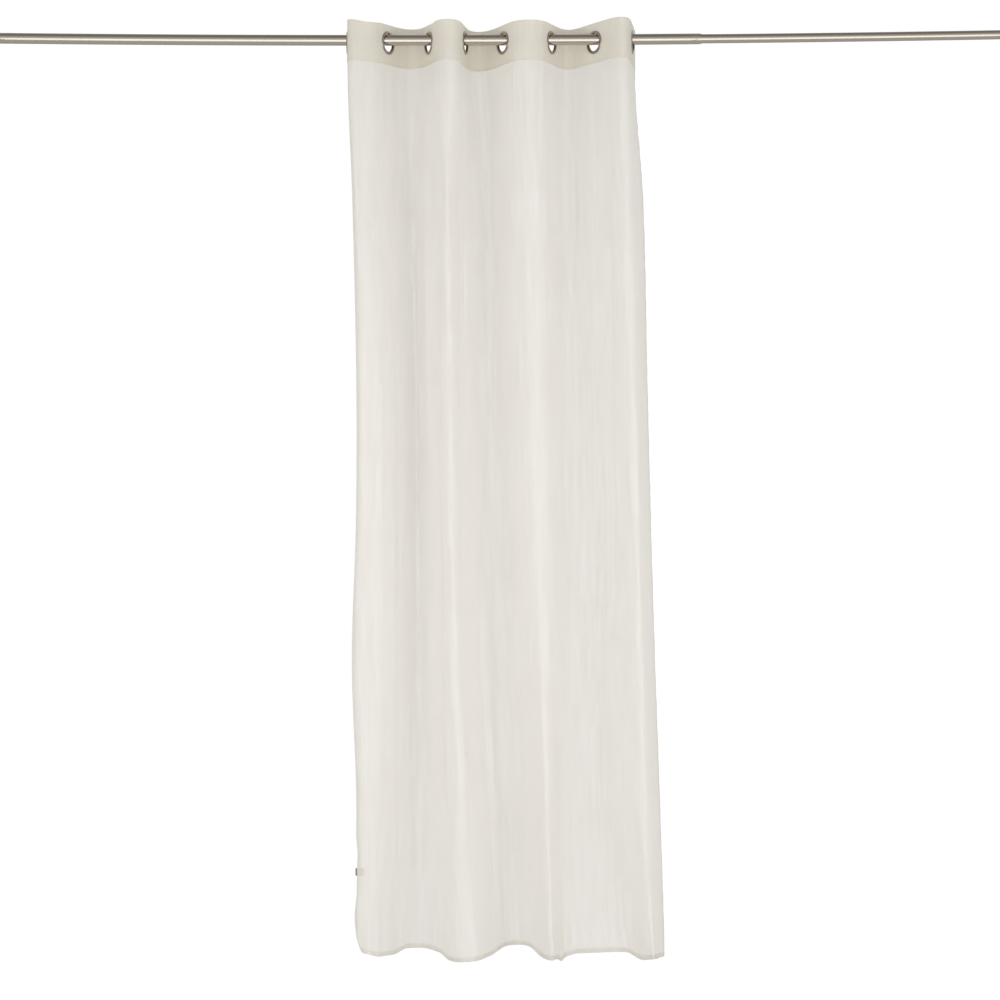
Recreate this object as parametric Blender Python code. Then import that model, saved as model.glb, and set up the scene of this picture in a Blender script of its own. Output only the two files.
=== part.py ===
"""Sheer voile curtain hanging by its eyelets on an extendable metal rod.

X runs along the rod to the right, Y away from the viewer and Z up, in metres. The origin is on the
rod's axis. The cloth passes from behind the rod to the front of it at the first eyelet, back again
at the next, and so on, and each fold between two passes uses the same length of cloth at every
height, so its depth follows from how far apart the passes are there.
"""

from collections import namedtuple
from math import cos, pi, radians, sin

import bmesh
import bpy
from mathutils import Vector

MM = 0.001
GAP = 0.35 * MM
SMOOTH_BELOW = radians(40)

# The rod: an outer tube, and an inner tube that slides out of its right end
ROD_REACH = 1350 * MM
ROD_LOWEST_X = -315 * MM
ROD_BOW = 0.00554
OUTER_TUBE_R = 14.0 * MM
INNER_TUBE_R = 12.0 * MM
TUBE_WALL = 1.2 * MM
TUBE_JOINT_X = 530 * MM
TUBE_LAP = 160 * MM
TUBE_LIP = 6.0 * MM
TUBE_LIP_DROP = 0.7 * MM
TUBE_SIDES = 24
OUTER_TUBE_STEPS = 12
INNER_TUBE_STEPS = 7

# The cloth as it was cut: eight eyelets at one pitch, with a margin at either side
CLOTH_PITCH = 183 * MM
CLOTH_MARGIN = 60 * MM
CLOTH_THICK = 1.2 * MM
CLOTH_ROWS = 20
HEADING_THICK = 2.0 * MM
HEADING_TOP = 40.5 * MM
HEADING_FOOT = -65 * MM
HEM = -2400 * MM

# Eyelets, turned about their own axis
EYELET_R = 30.5 * MM
EYELET_BORE_R = 22.5 * MM
EYELET_NECK_R = 24.5 * MM
EYELET_HALF_DEEP = 4.2 * MM
EYELET_RIM_IN = 1.0 * MM
EYELET_RIM_HIGH = 1.7 * MM
EYELET_CREST_IN = 4.0 * MM
EYELET_LIP = 1.0 * MM
EYELET_PLAY = 1.2 * GAP
EYELET_DROP = 7.5 * MM
EYELET_SIDES = 20
EYELET_HOLE_R = 25.2 * MM
CUTTER_SIDES = 24
CUTTER_LENGTH = 24 * MM

# The blank label, sewn into the left side hem
LABEL_Z = -2198 * MM
LABEL_WIDE = 24 * MM
LABEL_HIGH = 20 * MM
LABEL_THICK = 1.0 * MM
LABEL_POKE = 5.0 * MM
LABEL_BULGE = 1.5 * MM
LABEL_STEPS = 4
LABEL_PLAY = 1.4 * GAP

# Heights of the horizontal sections of the cloth, and how far it stays straight on either side of
# the rod's plane there
Level = namedtuple("Level", "height straight")
LEVELS = [
    Level(HEADING_FOOT, 32 * MM),
    Level(-420 * MM, 16 * MM),
    Level(-890 * MM, 9 * MM),
    Level(-1260 * MM, 7 * MM),
    Level(-1630 * MM, 6 * MM),
    Level(-2000 * MM, 6 * MM),
    Level(-2310 * MM, 6 * MM),
    Level(HEM, 6 * MM),
]

# Where the cloth passes the rod's plane at each level, in millimetres along X, and the angle in
# degrees at which it does so, at the rod and below it. The first pass is at the left side.
Pass = namedtuple("Pass", "turn_top turn_low heading z_420 z_890 z_1260 z_1630 z_2000 z_2310 hem")
PASSES = [
    Pass(88, 91, -400, -387, -377, -378, -389, -377, -381, -372),
    Pass(61, 58, -295, -284, -271, -268, -268, -271, -273, -274),
    Pass(70, 60, -189, -184, -179, -174, -166, -155, -148, -145),
    Pass(78, 60, -90, -87, -84, -76, -66, -47, -31, -24),
    Pass(59, 64, 8, 16, 29, 42, 58, 76, 87, 92),
    Pass(61, 70, 137, 139, 147, 155, 160, 160, 165, 168),
    Pass(53, 50, 247, 258, 276, 289, 297, 305, 330, 342),
    Pass(72, 74, 348, 364, 375, 384, 395, 408, 418, 420),
]

# How much higher the heading hangs than its mean, and the hem than its own, by the distance along
# the cloth from its left side, all in millimetres
Lift = namedtuple("Lift", "along up")
HEADING_LIFTS = [
    Lift(0, 5), Lift(151, -2), Lift(334, 2), Lift(517, 1), Lift(609, -4), Lift(700, -4),
    Lift(883, 1), Lift(1066, 1), Lift(1158, 5), Lift(1240, 8), Lift(1341, 3), Lift(1401, -5),
]
HEM_LIFTS = [
    Lift(0, 62), Lift(60, 52), Lift(96, 43), Lift(130, 12), Lift(182, 0),
    Lift(242, -3), Lift(287, 4), Lift(332, 1), Lift(392, -4), Lift(452, -16), Lift(542, -11),
    Lift(602, -8), Lift(692, 7), Lift(752, 11), Lift(842, -5), Lift(902, -3), Lift(962, -18),
    Lift(1022, -4), Lift(1142, 0), Lift(1202, -11), Lift(1262, -1), Lift(1322, -11), Lift(1401, -20),
]

# Smaller folds in the hanging cloth: where each runs along the cloth at its upper and lower end,
# the heights of those ends, how far it stands towards the viewer and its half width, in millimetres
Ripple = namedtuple("Ripple", "along_top along_low upper lower out half")
RIPPLES = [
    Ripple(660, 675, -1330, -2460, 13, 34),
    Ripple(515, 515, -2120, -2460, -9, 36),
    Ripple(150, 156, -620, -1900, -7, 34),
    Ripple(1110, 1105, -900, -2300, -6, 45),
    Ripple(880, 868, -1500, -2460, 6, 40),
]

# The share of a smaller fold's height over which it rises at either end
RIPPLE_RISE = 0.25

# Columns of the cloth between two passes, as distances along it from the first one: the ends of the
# straight stretches at the heading, and even steps round the fold. One more is near each side edge.
FOLD_STEPS = 7
PASS_STRAIGHT = LEVELS[0].straight
SIDE_COLUMN = CLOTH_MARGIN / 4
FOLD_COLUMNS = [
    PASS_STRAIGHT + k * (CLOTH_PITCH - 2 * PASS_STRAIGHT) / FOLD_STEPS for k in range(FOLD_STEPS + 1)
]

# Points read from the curve of each fold, and the halvings that find how far its curve reaches
CURVE_STEPS = 48
HALVINGS = 40

COLOURS = {
    "voile": ((0.80, 0.78, 0.72, 1.0), 0.85, 0.0),
    "heading": ((0.74, 0.71, 0.62, 1.0), 0.80, 0.0),
    "nickel": ((0.40, 0.38, 0.34, 1.0), 0.30, 1.0),
    "steel": ((0.45, 0.43, 0.39, 1.0), 0.28, 1.0),
    "label": ((0.62, 0.52, 0.46, 1.0), 0.75, 0.0),
}


def clear_scene():
    for thing in list(bpy.data.objects):
        bpy.data.objects.remove(thing, do_unlink=True)


def material(name, finish):
    """A plain Principled material for one piece."""
    colour, roughness, metallic = COLOURS[finish]
    made = bpy.data.materials.new(name + "_finish")
    made.use_nodes = True
    shader = made.node_tree.nodes["Principled BSDF"]
    shader.inputs["Base Color"].default_value = colour
    shader.inputs["Roughness"].default_value = roughness
    shader.inputs["Metallic"].default_value = metallic
    return made


def add_piece(name, mesh, finish):
    """A named object in the scene, with a material of its own."""
    piece = bpy.data.objects.new(name, mesh)
    bpy.context.collection.objects.link(piece)
    if not mesh.materials:
        mesh.materials.append(None)
    piece.material_slots[0].link = "OBJECT"
    piece.material_slots[0].material = material(name, finish)
    return piece


def add_solidify(piece, thick):
    """Gives a single sheet its thickness, half on each side."""
    wall = piece.modifiers.new("thickness", "SOLIDIFY")
    wall.thickness = thick
    wall.offset = 0.0
    wall.use_even_offset = True


def rod_height(x):
    """Height of the rod's axis, which bows a little under the cloth."""
    return ROD_BOW * ((x - ROD_LOWEST_X) ** 2 - ROD_LOWEST_X**2)


# Sections of the cloth


def pass_place(index, level):
    """Where the cloth passes the rod's plane, seen from above."""
    return Vector((PASSES[index][2 + level] * MM, 0.0))


def pass_way(index, level):
    """The cloth's direction there: to the front at even passes and to the back at odd ones."""
    row = PASSES[index]
    turn = radians(row.turn_top if level == 0 else row.turn_low)
    return Vector((cos(turn), sin(turn) * (1 if index % 2 else -1)))


def bend(start, start_way, end, end_way, handle):
    """Points round a smooth fold from one straight stretch to the next."""
    reach = [start, start + start_way * handle, end - end_way * handle, end]
    points = []
    for step in range(CURVE_STEPS + 1):
        t = step / CURVE_STEPS
        shares = ((1 - t) ** 3, 3 * t * (1 - t) ** 2, 3 * t * t * (1 - t), t**3)
        points.append(sum((p * s for p, s in zip(reach, shares)), Vector((0.0, 0.0))))
    return points


def run_length(points):
    return sum((b - a).length for a, b in zip(points, points[1:]))


def fold(start, start_way, end, end_way, cloth):
    """The fold between two passes that takes up this much cloth, found by halving."""
    low, high = 0.0, cloth
    for _ in range(HALVINGS):
        handle = (low + high) / 2
        if run_length(bend(start, start_way, end, end_way, handle)) < cloth:
            low = handle
        else:
            high = handle
    return bend(start, start_way, end, end_way, handle)


def section(level):
    """One section from left to right, as (distance along the cloth, place) pairs."""
    straight = LEVELS[level].straight
    places = [pass_place(i, level) for i in range(len(PASSES))]
    ways = [pass_way(i, level) for i in range(len(PASSES))]
    route = [places[0] - ways[0] * CLOTH_MARGIN]
    for i in range(len(PASSES) - 1):
        start = places[i] + ways[i] * straight
        end = places[i + 1] - ways[i + 1] * straight
        route += fold(start, ways[i], end, ways[i + 1], CLOTH_PITCH - 2 * straight)
    route.append(places[-1] + ways[-1] * CLOTH_MARGIN)
    pairs, along = [(0.0, route[0])], 0.0
    for a, b in zip(route, route[1:]):
        along += (b - a).length
        pairs.append((along, b))
    return pairs


def read_section(pairs, along):
    """The place at a distance along one section."""
    scaled = along / cloth_width() * pairs[-1][0]
    for (d0, p0), (d1, p1) in zip(pairs, pairs[1:]):
        if scaled <= d1:
            return p0.lerp(p1, (scaled - d0) / max(d1 - d0, 1e-9))
    return pairs[-1][1]


def cloth_width():
    return 2 * CLOTH_MARGIN + CLOTH_PITCH * (len(PASSES) - 1)


def between_levels(places, height):
    """A smooth curve through one column's places at the levels, read at a height."""
    heights = [level.height for level in LEVELS]
    if height >= heights[0]:
        return places[0]
    if height <= heights[-1]:
        return places[-1]
    k = max(i for i in range(len(heights) - 1) if height <= heights[i])

    def slope(i):
        if i in (0, len(heights) - 1):
            return Vector((0.0, 0.0))
        return (places[i + 1] - places[i - 1]) / (heights[i + 1] - heights[i - 1])

    span = heights[k + 1] - heights[k]
    t = (height - heights[k]) / span
    ends = places[k] * (1 - 3 * t**2 + 2 * t**3) + places[k + 1] * (3 * t**2 - 2 * t**3)
    leans = slope(k) * (t - 2 * t**2 + t**3) + slope(k + 1) * (t**3 - t**2)
    return ends + leans * span


def eased(rows, along):
    """A lift between the rows of its table, in metres."""
    at = along / MM
    for low, high in zip(rows, rows[1:]):
        if at <= high.along:
            t = max(0.0, (at - low.along) / (high.along - low.along))
            return (low.up + (high.up - low.up) * t * t * (3 - 2 * t)) * MM
    return rows[-1].up * MM


def heading_lift(along):
    """The heading's lift, straight between its own columns so that the panel meets it evenly."""
    marks = columns(inner=False)
    for low, high in zip(marks, marks[1:]):
        if along <= high:
            t = (along - low) / (high - low)
            return eased(HEADING_LIFTS, low) * (1 - t) + eased(HEADING_LIFTS, high) * t
    return eased(HEADING_LIFTS, marks[-1])


def ripple_push(along, height):
    """How far the smaller folds push the cloth towards the viewer."""
    push, at, z = 0.0, along / MM, height / MM
    for row in RIPPLES:
        t = (z - row.upper) / (row.lower - row.upper)
        if 0 < t < 1:
            centre = row.along_top + (row.along_low - row.along_top) * t
            aside = abs(at - centre) / row.half
            fade = min(1.0, t / RIPPLE_RISE) * min(1.0, (1 - t) / RIPPLE_RISE)
            if aside < 1:
                push += row.out * fade * (1 + cos(pi * aside)) / 2
    return push * MM


def columns(inner):
    """Distances along the cloth of its columns, with or without those inside the straights."""
    offsets = FOLD_COLUMNS
    if inner:
        half = PASS_STRAIGHT / 2
        offsets = [0.0, half] + FOLD_COLUMNS + [CLOTH_PITCH - half]
    found = [0.0, SIDE_COLUMN] + [CLOTH_MARGIN / 2] * inner
    for i in range(len(PASSES) - 1):
        start = CLOTH_MARGIN + i * CLOTH_PITCH
        found += [start + offset for offset in offsets]
    last = cloth_width() - CLOTH_MARGIN
    found += [last, last + CLOTH_MARGIN / 2] * inner
    return found + [cloth_width() - SIDE_COLUMN, cloth_width()]


# Pieces


def heading_band():
    """The stiff double band along the top, upright all the way and cut for the eyelets."""
    pairs = section(0)
    mesh = bpy.data.meshes.new("heading_band")
    verts, faces = [], []
    for along in columns(inner=False):
        place, lift = read_section(pairs, along), heading_lift(along)
        verts += [(*place, HEADING_FOOT + lift), (*place, HEADING_TOP + lift)]
    for k in range(0, len(verts) - 2, 2):
        faces.append((k, k + 2, k + 3, k + 1))
    mesh.from_pydata(verts, [], faces)
    band = add_piece("heading_band", mesh, "heading")
    add_solidify(band, HEADING_THICK)
    punch = eyelet_cutter_mesh()
    for i in range(len(PASSES)):
        cutter = bpy.data.objects.new(f"eyelet_cutter_{i + 1}", punch)
        bpy.context.collection.objects.link(cutter)
        cutter.hide_render = True
        cutter.display_type = "WIRE"
        set_on_rod(cutter, i)
        hole = band.modifiers.new(f"hole_{i + 1}", "BOOLEAN")
        hole.operation = "DIFFERENCE"
        hole.object = cutter
    return band


def curtain_panel():
    """The voile below the heading, down to its hem, in its folds."""
    sections = [section(level) for level in range(len(LEVELS))]
    across = columns(inner=True)
    mesh = bpy.data.meshes.new("curtain_panel")
    verts, faces = [], []
    for along in across:
        places = [read_section(pairs, along) for pairs in sections]
        top = HEADING_FOOT + heading_lift(along) - GAP
        foot = HEM + eased(HEM_LIFTS, along)
        for row in range(CLOTH_ROWS + 1):
            height = top + (foot - top) * row / CLOTH_ROWS
            place = between_levels(places, height)
            verts.append((place.x, place.y - ripple_push(along, height), height))
    for i in range(len(across) - 1):
        for row in range(CLOTH_ROWS):
            a = i * (CLOTH_ROWS + 1) + row
            b = a + CLOTH_ROWS + 1
            faces += [(a, a + 1, b + 1), (a, b + 1, b)]
    mesh.from_pydata(verts, [], faces)
    mesh.shade_smooth()
    panel = add_piece("curtain_panel", mesh, "voile")
    add_solidify(panel, CLOTH_THICK)
    return panel


def turned_ring(name, profile, sides):
    """A ring turned about the Y axis from a closed outline of (radius, along the axis) points."""
    build = bmesh.new()
    rings = []
    for step in range(sides):
        angle = 2 * pi * (step + 0.5) / sides
        rings.append([build.verts.new((r * cos(angle), y, r * sin(angle))) for r, y in profile])
    for step in range(sides):
        here, there = rings[step], rings[(step + 1) % sides]
        for k in range(len(profile)):
            after = (k + 1) % len(profile)
            build.faces.new((here[k], there[k], there[after], here[after]))
    bmesh.ops.recalc_face_normals(build, faces=build.faces)
    mesh = bpy.data.meshes.new(name)
    build.to_mesh(mesh)
    build.free()
    mesh.shade_smooth()
    mesh.set_sharp_from_angle(angle=SMOOTH_BELOW)
    return mesh


def eyelet_mesh():
    """An eyelet in section: two domed flanges with the heading's edge in the groove between."""
    groove = HEADING_THICK / 2 + EYELET_PLAY
    half = [
        (EYELET_NECK_R, groove),
        (EYELET_R, groove),
        (EYELET_R - EYELET_RIM_IN, groove + EYELET_RIM_HIGH),
        (EYELET_R - EYELET_CREST_IN, EYELET_HALF_DEEP),
        (EYELET_BORE_R + EYELET_LIP, EYELET_HALF_DEEP - EYELET_LIP),
    ]
    profile = half + [(EYELET_BORE_R, 0.0)] + [(r, -y) for r, y in reversed(half)]
    return turned_ring("eyelet", profile, EYELET_SIDES)


def eyelet_cutter_mesh():
    """A plain round punch along the Y axis."""
    build = bmesh.new()
    bmesh.ops.create_cone(
        build,
        cap_ends=True,
        segments=CUTTER_SIDES,
        radius1=EYELET_HOLE_R,
        radius2=EYELET_HOLE_R,
        depth=CUTTER_LENGTH,
    )
    for vert in build.verts:
        vert.co = Vector((vert.co.x, -vert.co.z, vert.co.y))
    mesh = bpy.data.meshes.new("eyelet_cutter")
    build.to_mesh(mesh)
    build.free()
    return mesh


def set_on_rod(piece, index):
    """Hangs an eyelet, or its cutter, on the rod, facing square to the cloth there."""
    place, way = pass_place(index, 0), pass_way(index, 0)
    piece.location = (place.x, place.y, rod_height(place.x) - EYELET_DROP)
    piece.rotation_euler = (0.0, 0.0, Vector((1.0, 0.0)).angle_signed(way) * -1)


def eyelets():
    mesh = eyelet_mesh()
    for i in range(len(PASSES)):
        eyelet = add_piece(f"eyelet_{i + 1}", mesh, "nickel")
        set_on_rod(eyelet, i)


def tube(name, closed_x, mouth_x, radius, steps):
    """A tube along the bowed rod, with a flat end at closed_x and its bore out at mouth_x."""
    inwards = 1 if mouth_x > closed_x else -1
    bore = radius - TUBE_WALL
    stations = [(closed_x, radius)]
    for step in range(1, steps):
        stations.append((closed_x + (mouth_x - closed_x) * step / steps, radius))
    stations += [(mouth_x - inwards * TUBE_LIP, radius), (mouth_x, radius - TUBE_LIP_DROP)]
    stations += [(mouth_x, bore)]
    for step in range(steps - 1, 0, -1):
        stations.append((closed_x + (mouth_x - closed_x) * step / steps, bore))
    stations.append((closed_x + inwards * TUBE_WALL, bore))
    build = bmesh.new()
    rings = []
    for x, r in stations:
        ring = []
        for side in range(TUBE_SIDES):
            angle = 2 * pi * side / TUBE_SIDES
            ring.append(build.verts.new((x, r * cos(angle), rod_height(x) + r * sin(angle))))
        rings.append(ring)
    for here, there in zip(rings, rings[1:]):
        for side in range(TUBE_SIDES):
            after = (side + 1) % TUBE_SIDES
            build.faces.new((here[side], here[after], there[after], there[side]))
    build.faces.new(rings[0])
    build.faces.new(rings[-1])
    bmesh.ops.recalc_face_normals(build, faces=build.faces)
    mesh = bpy.data.meshes.new(name)
    build.to_mesh(mesh)
    build.free()
    mesh.shade_smooth()
    mesh.set_sharp_from_angle(angle=SMOOTH_BELOW)
    return add_piece(name, mesh, "steel")


def rod():
    """The two tubes, lapped one inside the other."""
    tube("rod_outer_tube", -ROD_REACH, TUBE_JOINT_X, OUTER_TUBE_R, OUTER_TUBE_STEPS)
    tube("rod_inner_tube", ROD_REACH, TUBE_JOINT_X - TUBE_LAP, INNER_TUBE_R, INNER_TUBE_STEPS)


def side_label():
    """A small blank label across the end of the left side hem, one end poking out past it."""
    sections = [section(level) for level in range(len(LEVELS))]
    edge = between_levels([read_section(pairs, 0.0) for pairs in sections], LABEL_Z)
    inside = [read_section(pairs, SIDE_COLUMN) for pairs in sections]
    out = (edge - between_levels(inside, LABEL_Z)).normalized()
    root = edge + out * (LABEL_THICK / 2 + LABEL_PLAY)
    seam_bulge = LABEL_BULGE * sin(pi * LABEL_POKE / LABEL_WIDE)
    mesh = bpy.data.meshes.new("side_label")
    verts, faces = [], []
    for step in range(LABEL_STEPS + 1):
        share = step / LABEL_STEPS
        bulge = LABEL_BULGE * sin(pi * share) - seam_bulge
        place = root.x - LABEL_POKE + LABEL_WIDE * share, root.y + bulge
        verts += [(*place, LABEL_Z - LABEL_HIGH / 2), (*place, LABEL_Z + LABEL_HIGH / 2)]
    for k in range(0, len(verts) - 2, 2):
        faces.append((k, k + 2, k + 3, k + 1))
    mesh.from_pydata(verts, [], faces)
    label = add_piece("side_label", mesh, "label")
    add_solidify(label, LABEL_THICK)
    return label


def main():
    clear_scene()
    rod()
    eyelets()
    heading_band()
    curtain_panel()
    side_label()


main()
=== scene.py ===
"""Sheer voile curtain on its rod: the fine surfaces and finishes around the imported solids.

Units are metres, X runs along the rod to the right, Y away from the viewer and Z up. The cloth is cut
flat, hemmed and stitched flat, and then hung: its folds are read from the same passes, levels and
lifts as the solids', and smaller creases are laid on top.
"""

import logging
from collections.abc import Callable, Iterator, Sequence
from contextlib import contextmanager
from dataclasses import dataclass, field
from enum import Enum
from math import atan2, cos, pi, radians, sin
from typing import NamedTuple

import bmesh
import bpy
import numpy as np
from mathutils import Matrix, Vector


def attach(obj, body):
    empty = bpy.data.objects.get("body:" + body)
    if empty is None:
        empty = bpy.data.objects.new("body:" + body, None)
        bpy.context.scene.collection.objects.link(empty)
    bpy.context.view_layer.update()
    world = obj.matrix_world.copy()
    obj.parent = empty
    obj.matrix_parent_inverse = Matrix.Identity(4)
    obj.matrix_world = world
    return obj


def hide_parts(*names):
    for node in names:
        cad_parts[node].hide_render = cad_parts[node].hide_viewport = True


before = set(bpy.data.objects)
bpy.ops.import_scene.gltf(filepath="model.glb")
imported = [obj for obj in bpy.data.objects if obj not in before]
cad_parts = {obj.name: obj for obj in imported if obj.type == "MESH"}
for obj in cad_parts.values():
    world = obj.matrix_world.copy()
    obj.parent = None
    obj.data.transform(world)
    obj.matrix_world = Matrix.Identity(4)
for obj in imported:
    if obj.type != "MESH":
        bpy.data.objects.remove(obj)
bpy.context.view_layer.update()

log = logging.getLogger("curtain")

MM = 0.001
BODY = "root"


# Helpers for modelling


def deselect_all() -> None:
    """Deselects every object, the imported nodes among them."""
    bpy.ops.object.select_all(action="DESELECT")


def make_active(piece: bpy.types.Object) -> None:
    """Selects one piece alone and makes it the active one.

    Args:
        piece: the object that the next operator works on.
    """
    deselect_all()
    piece.select_set(True)
    bpy.context.view_layer.objects.active = piece


@contextmanager
def editing(piece: bpy.types.Object) -> Iterator[None]:
    """Edit mode on one piece alone, with vertices as what is selected.

    Args:
        piece: the mesh object to edit.
    """
    make_active(piece)
    bpy.ops.object.mode_set(mode="EDIT")
    bpy.ops.mesh.select_mode(type="VERT")
    yield
    bpy.ops.object.mode_set(mode="OBJECT")


def pick(piece: bpy.types.Object, wanted: Callable[[Vector], bool]) -> None:
    """Selects, in edit mode, the vertices at the places that are wanted.

    Args:
        piece: the object in edit mode.
        wanted: says of a vertex's place whether it is selected.
    """
    mesh = bmesh.from_edit_mesh(piece.data)
    for vert in mesh.verts:
        vert.select = wanted(vert.co)
    mesh.select_flush_mode()
    bmesh.update_edit_mesh(piece.data)


def apply_all(piece: bpy.types.Object) -> None:
    """Applies a piece's place, turn, size and modifiers to its mesh.

    Args:
        piece: the object to settle.
    """
    make_active(piece)
    bpy.ops.object.transform_apply(location=True, rotation=True, scale=True)
    for modifier in list(piece.modifiers):
        bpy.ops.object.modifier_apply(modifier=modifier.name)


def points_of(piece: bpy.types.Object) -> np.ndarray:
    """Reads the places of a mesh's vertices.

    Args:
        piece: a mesh object.

    Returns:
        One row of x, y and z for each vertex.
    """
    flat = np.empty(len(piece.data.vertices) * 3)
    piece.data.vertices.foreach_get("co", flat)
    return flat.reshape(-1, 3)


def set_points(piece: bpy.types.Object, points: np.ndarray) -> None:
    """Moves a mesh's vertices to new places, one row of x, y and z for each."""
    piece.data.vertices.foreach_set("co", points.ravel())
    piece.data.update()


def lay_uv(piece: bpy.types.Object, flat: np.ndarray) -> None:
    """Gives a mesh a UV map in metres of flat cloth.

    Args:
        piece: a mesh object.
        flat: one row for each vertex, whose first two numbers are its place on the flat cloth.
    """
    layer = piece.data.uv_layers.new(name="cloth")
    corners = np.empty(len(piece.data.loops), dtype=np.int32)
    piece.data.loops.foreach_get("vertex_index", corners)
    layer.data.foreach_set("uv", flat[corners, :2].ravel())


def make_part(
    piece: bpy.types.Object, material: bpy.types.Material, nodes: Sequence[str] = ()
) -> bpy.types.Object:
    """Gives a finished piece its material and its place in the part.

    Args:
        piece: the finished mesh object.
        material: what it is made of.
        nodes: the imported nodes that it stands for.

    Returns:
        The same piece.
    """
    piece.data.materials.clear()
    piece.data.materials.append(material)
    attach(piece, BODY)
    if nodes:
        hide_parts(*nodes)
    log.info("%s: %d vertices", piece.name, len(piece.data.vertices))
    return piece


# Materials

MIX_A, MIX_B, MIX_RESULT = 6, 7, 2


def linear(hex_colour: str) -> tuple[float, float, float, float]:
    """Turns an sRGB hex colour to linear light.

    Args:
        hex_colour: a colour such as "#f2efe6".

    Returns:
        Red, green, blue and an alpha of 1.
    """
    shares = [int(hex_colour[i : i + 2], 16) / 255 for i in (1, 3, 5)]
    light = [s / 12.92 if s <= 0.04045 else ((s + 0.055) / 1.055) ** 2.4 for s in shares]
    return (*light, 1.0)


def add_node(
    tree: bpy.types.NodeTree,
    kind: str,
    inputs: dict[str | int, object] | None = None,
    **settings: object,
) -> bpy.types.Node:
    """Adds a node with its settings and links.

    Args:
        tree: the node tree to add it to.
        kind: the node's type.
        inputs: for each input by name or number, a value or the output that feeds it.
        settings: the node's own settings.

    Returns:
        The new node.
    """
    node = tree.nodes.new(kind)
    for name, value in settings.items():
        setattr(node, name, value)
    for key, value in (inputs or {}).items():
        if isinstance(value, bpy.types.NodeSocket):
            tree.links.new(value, node.inputs[key])
        else:
            node.inputs[key].default_value = value
    return node


def new_material(name: str) -> tuple[bpy.types.Material, bpy.types.NodeTree]:
    """Makes an empty node material.

    Args:
        name: what the real material is.

    Returns:
        The material and its node tree.
    """
    material = bpy.data.materials.new(name)
    material.use_nodes = True
    material.node_tree.nodes.clear()
    return material, material.node_tree


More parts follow.
